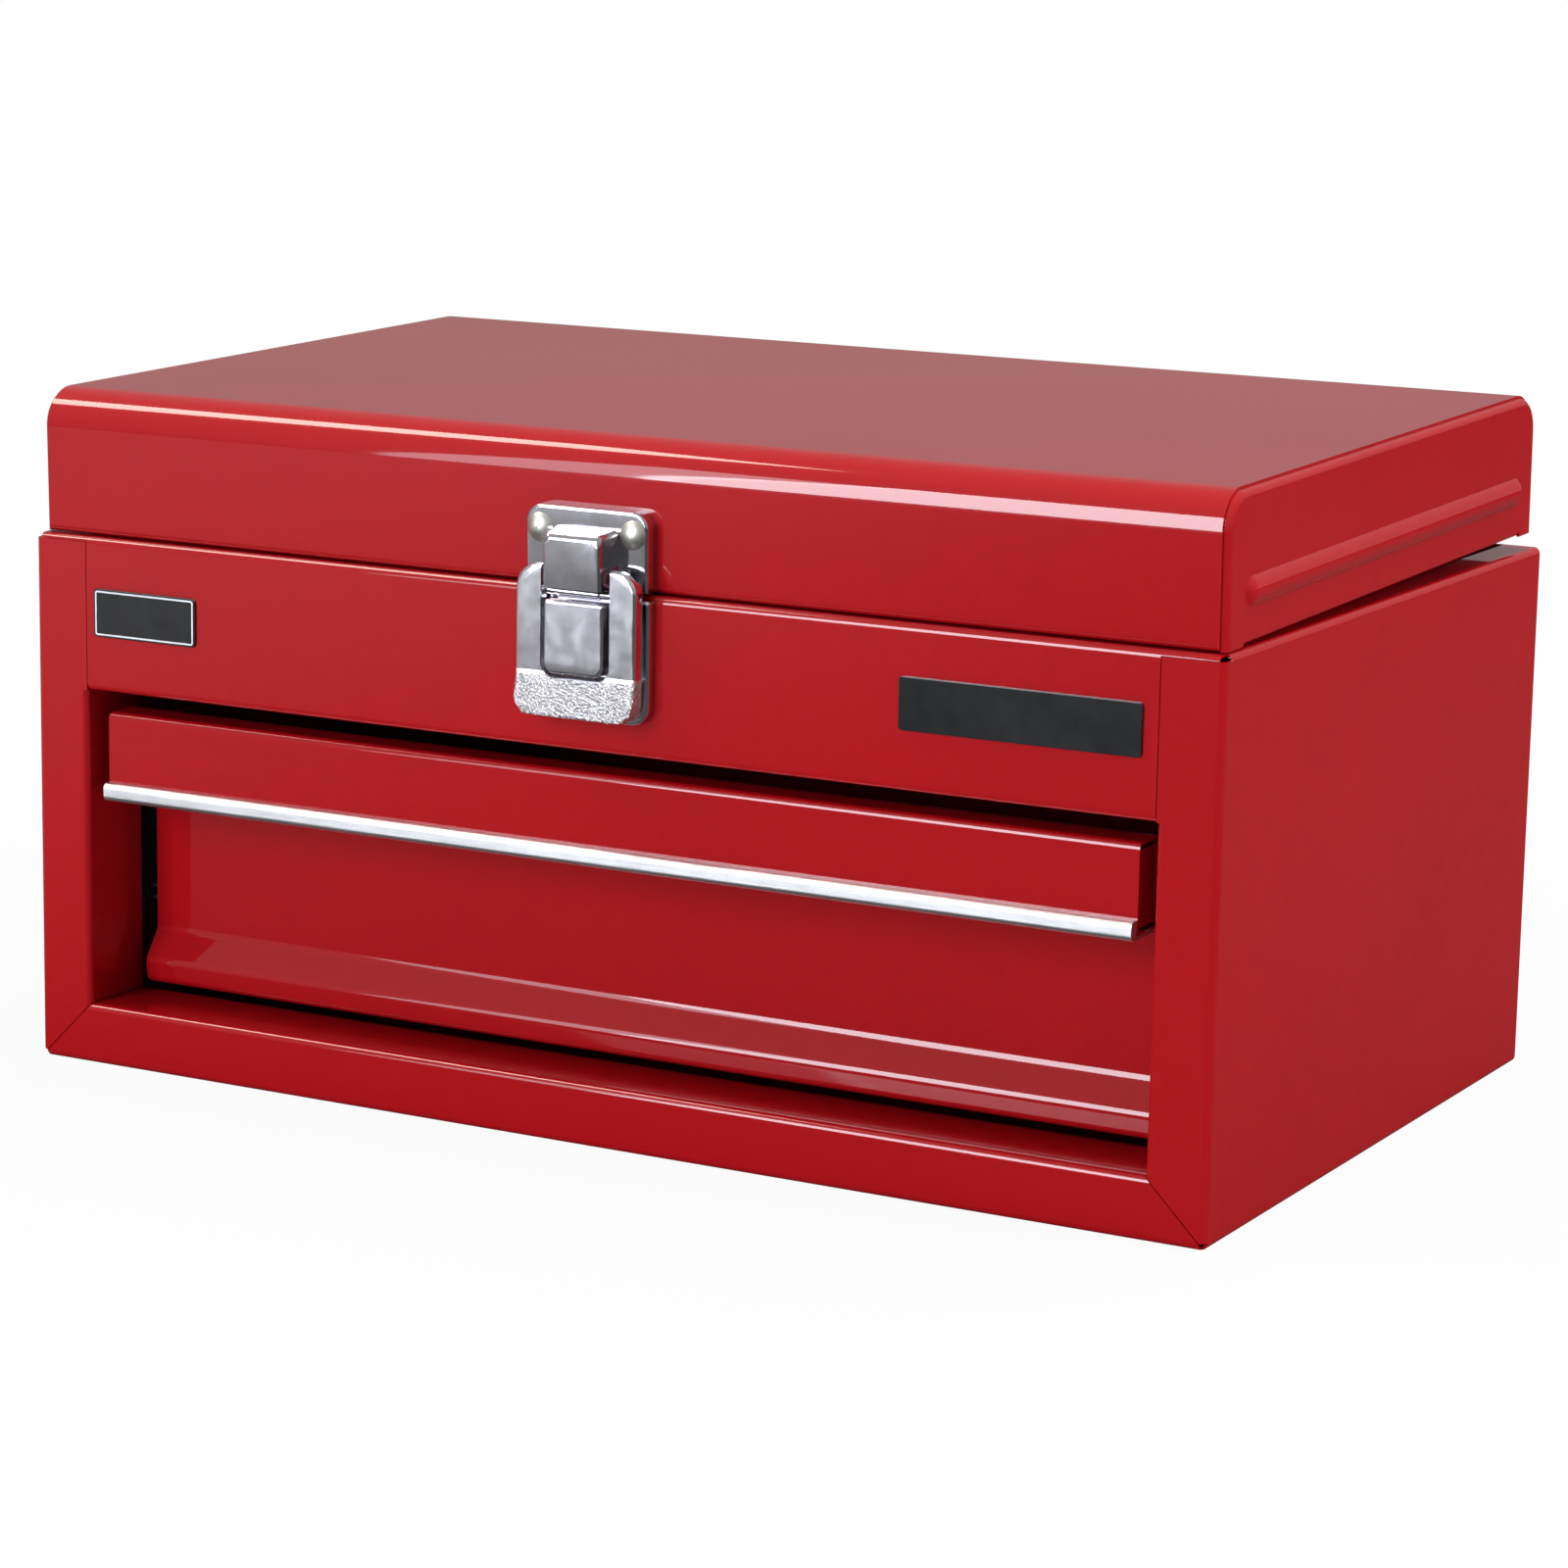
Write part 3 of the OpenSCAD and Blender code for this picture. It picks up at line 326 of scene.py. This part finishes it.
def plated_material(name, colour, dull, rough_low, rough_high, stretch, depth):
    """Bare or plated metal with drawing lines and duller patches."""
    material, nodes, links, out = new_material(name)
    metal = nodes.new("ShaderNodeBsdfPrincipled")
    metal.inputs["Metallic"].default_value = 1.0
    place = nodes.new("ShaderNodeTexCoord")
    cloud = nodes.new("ShaderNodeGroup")
    cloud.node_tree = smudge
    cloud.inputs["Scale"].default_value = 60.0
    links.new(place.outputs["Object"], cloud.inputs["Vector"])
    lines = nodes.new("ShaderNodeGroup")
    lines.node_tree = drawn
    lines.inputs["Stretch"].default_value = stretch
    links.new(place.outputs["Object"], lines.inputs["Vector"])
    tint = nodes.new("ShaderNodeMix")
    tint.data_type = "RGBA"
    tint.inputs["A"].default_value = (*colour, 1.0)
    tint.inputs["B"].default_value = (*dull, 1.0)
    links.new(cloud.outputs["Mask"], tint.inputs["Factor"])
    links.new(tint.outputs["Result"], metal.inputs["Base Color"])
    links.new(ramp_between(nodes, links, lines.outputs["Lines"], 0.3, 0.7, rough_low, rough_high),
              metal.inputs["Roughness"])
    bump = nodes.new("ShaderNodeBump")
    bump.inputs["Strength"].default_value = depth
    bump.inputs["Distance"].default_value = 0.0003
    links.new(lines.outputs["Lines"], bump.inputs["Height"])
    links.new(bump.outputs["Normal"], metal.inputs["Normal"])
    links.new(metal.outputs[0], out.inputs["Surface"])
    return material


zinc_plate = plated_material(
    "zinc_plate", (0.62, 0.64, 0.66), (0.46, 0.47, 0.49), 0.26, 0.42, (900.0, 40.0, 900.0), 0.15)
bearing_steel = plated_material(
    "bearing_steel", (0.70, 0.71, 0.73), (0.62, 0.63, 0.65), 0.06, 0.12, (300.0, 300.0, 300.0), 0.02)
for node in ("slide_outer_left", "slide_outer_right", "slide_rivets"):
    skin(node, "case", zinc_plate)
for node in ("slide_inner_left", "slide_inner_right", "drawer_rivets"):
    skin(node, "drawer", zinc_plate)
for side in ("left", "right"):
    skin("ball_retainer_" + side, "retainer_" + side, zinc_plate)
    skin("balls_" + side, "retainer_" + side, bearing_steel, 60.0)

# The piano hinge: two rolled zinc-plated leaves on one long pin, welded to the
# back panel and to the lid's rear wall.
hinge_zinc = plated_material(
    "hinge_zinc", (0.60, 0.61, 0.63), (0.42, 0.43, 0.45), 0.28, 0.44, (40.0, 900.0, 900.0), 0.15)
skin("hinge_leaf_case", "case", hinge_zinc)
skin("hinge_pin", "case", hinge_zinc)
skin("hinge_leaf_lid", "lid", hinge_zinc)

# The lid: one sheet folded over front, top and rear, with two flanged end caps
# that carry a pressed stiffening bead. Same paint as the case.
for node in ("lid_wrap", "lid_end_left", "lid_end_right"):
    skin(node, "lid", red_paint)

# The drawer: a folded tray, and a front with a lip, a finger recess and a
# flared foot, painted like the case.
for node in ("drawer_tray", "drawer_front"):
    skin(node, "drawer", red_paint)

# The pull: a satin anodised aluminium extrusion along the lip's lower edge.
satin_alloy = plated_material(
    "satin_alloy", (0.87, 0.84, 0.85), (0.77, 0.74, 0.75), 0.34, 0.46, (25.0, 1400.0, 1400.0), 0.12)
skin("drawer_pull", "drawer", satin_alloy)

# The catch: pressed, chrome-plated steel. The base and boss sit on the case,
# the keeper with its hood on the lid, and the lever swings on a pin between.
chrome_plate = plated_material(
    "chrome_plate", (0.80, 0.77, 0.82), (0.64, 0.62, 0.67), 0.06, 0.14, (160.0, 160.0, 160.0), 0.05)
worn_chrome = plated_material(
    "worn_chrome", (0.92, 0.89, 0.94), (0.80, 0.77, 0.83), 0.13, 0.22, (200.0, 200.0, 200.0), 0.06)

# The lever's leaning foot took the plating unevenly: pitted and speckled below the knee
foot_top, knee_bottom = 0.1453, 0.1468
pit_depth = 0.0011
lever_chrome = worn_chrome.copy()
lever_chrome.name = "lever_chrome"
nodes, links = lever_chrome.node_tree.nodes, lever_chrome.node_tree.links
metal = next(node for node in nodes if node.type == "BSDF_PRINCIPLED")
place = next(node for node in nodes if node.type == "TEX_COORD")
height = nodes.new("ShaderNodeSeparateXYZ")
links.new(place.outputs["Object"], height.inputs[0])
below = ramp_between(nodes, links, height.outputs["Z"], foot_top, knee_bottom, 1.0, 0.0)
grain = noise_node(nodes, links, place.outputs["Object"], 1250.0, 2.0, 0.6)
flecks = ramp_between(nodes, links, grain.outputs["Fac"], 0.46, 0.58, 0.0, 1.0)
spread = nodes.new("ShaderNodeMath")
spread.operation = "MULTIPLY"
links.new(below, spread.inputs[0])
links.new(flecks, spread.inputs[1])
brighter = nodes.new("ShaderNodeMix")
brighter.data_type = "RGBA"
brighter.inputs["B"].default_value = (0.97, 0.97, 1.0, 1.0)
links.new(spread.outputs[0], brighter.inputs["Factor"])
links.new(metal.inputs["Base Color"].links[0].from_socket, brighter.inputs["A"])
links.new(brighter.outputs["Result"], metal.inputs["Base Color"])
rougher = nodes.new("ShaderNodeMix")
rougher.inputs["B"].default_value = 0.12
links.new(below, rougher.inputs["Factor"])
links.new(metal.inputs["Roughness"].links[0].from_socket, rougher.inputs["A"])
links.new(rougher.outputs["Result"], metal.inputs["Roughness"])
pits = nodes.new("ShaderNodeMath")
pits.operation = "MULTIPLY"
links.new(below, pits.inputs[0])
links.new(grain.outputs["Fac"], pits.inputs[1])
pitting = nodes.new("ShaderNodeBump")
pitting.inputs["Strength"].default_value = 1.0
pitting.inputs["Distance"].default_value = pit_depth
links.new(pits.outputs[0], pitting.inputs["Height"])
links.new(metal.inputs["Normal"].links[0].from_socket, pitting.inputs["Normal"])
links.new(pitting.outputs["Normal"], metal.inputs["Normal"])

nickel_plate = plated_material(
    "nickel_plate", (0.80, 0.77, 0.70), (0.66, 0.62, 0.54), 0.38, 0.5, (260.0, 260.0, 260.0), 0.08)
skin("latch_base", "case", chrome_plate)
skin("latch_boss", "case", worn_chrome)
skin("latch_base_rivets", "case", nickel_plate)
skin("latch_keeper", "lid", chrome_plate)
skin("keeper_rivets", "lid", nickel_plate)
skin("latch_lever", "catch", lever_chrome)
for node in ("latch_hook", "latch_pin"):
    skin(node, "catch", chrome_plate)

# Two bare plates on the front panel, pressed alloy under black lacquer: a small
# one with a bright rim at the left, and a wide plain one at the right.
panel_front = -0.126
plate_thick = 0.0009


def plate_piece(name, x0, x1, z0, z1, corner, border, rim):
    """A plate with round corners; a rim shows bright inside a black border."""
    shape = bmesh.new()
    bmesh.ops.create_cube(shape, size=1.0, matrix=Matrix.Translation(
        ((x0 + x1) / 2, panel_front - plate_thick / 2, (z0 + z1) / 2)) @ Matrix.Diagonal(
        (x1 - x0, plate_thick, z1 - z0, 1.0)))
    upright = [edge for edge in shape.edges
               if abs(edge.verts[0].co.y - edge.verts[1].co.y) > plate_thick / 2]
    bmesh.ops.bevel(shape, geom=upright, offset=corner, offset_type="OFFSET", segments=8,
                    profile=0.5, affect="EDGES", material=-1)
    face = min(shape.faces, key=lambda f: f.calc_center_median().y)
    bmesh.ops.bevel(shape, geom=list(face.edges), offset=0.00018, offset_type="OFFSET", segments=3,
                    profile=0.5, affect="EDGES", material=-1)
    if rim > 0.0:
        face = max((f for f in shape.faces if f.normal.y < -0.99), key=lambda f: f.calc_area())
        bmesh.ops.inset_region(shape, faces=[face], thickness=border, depth=0.0)
        ring = bmesh.ops.inset_region(shape, faces=[face], thickness=rim, depth=0.0)["faces"]
        bmesh.ops.inset_region(shape, faces=[face], thickness=0.00012, depth=-0.0002)
        for f in ring:
            f.material_index = 1
    for f in shape.faces:
        f.smooth = f is not face and abs(f.normal.y) < 0.99
    mesh = bpy.data.meshes.new(name)
    shape.to_mesh(mesh)
    shape.free()
    piece = link_object(name, mesh)
    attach(piece, "case")
    return piece


black_lacquer = paint_material("black_lacquer", (0.012, 0.012, 0.013), (0.02, 0.02, 0.021), 0.3)
rim_alloy = plated_material(
    "rim_alloy", (0.86, 0.86, 0.88), (0.78, 0.78, 0.8), 0.34, 0.42, (60.0, 900.0, 900.0), 0.02)
small_plate = plate_piece("plate_small", -0.1818, -0.143, 0.1397, 0.155, 0.0015, 0.0004, 0.00055)
small_plate.data.materials.append(black_lacquer)
small_plate.data.materials.append(rim_alloy)
wide_plate = plate_piece("plate_wide", 0.104, 0.1805, 0.140, 0.1557, 0.0012, 0.0, 0.0)
wide_plate.data.materials.append(black_lacquer)
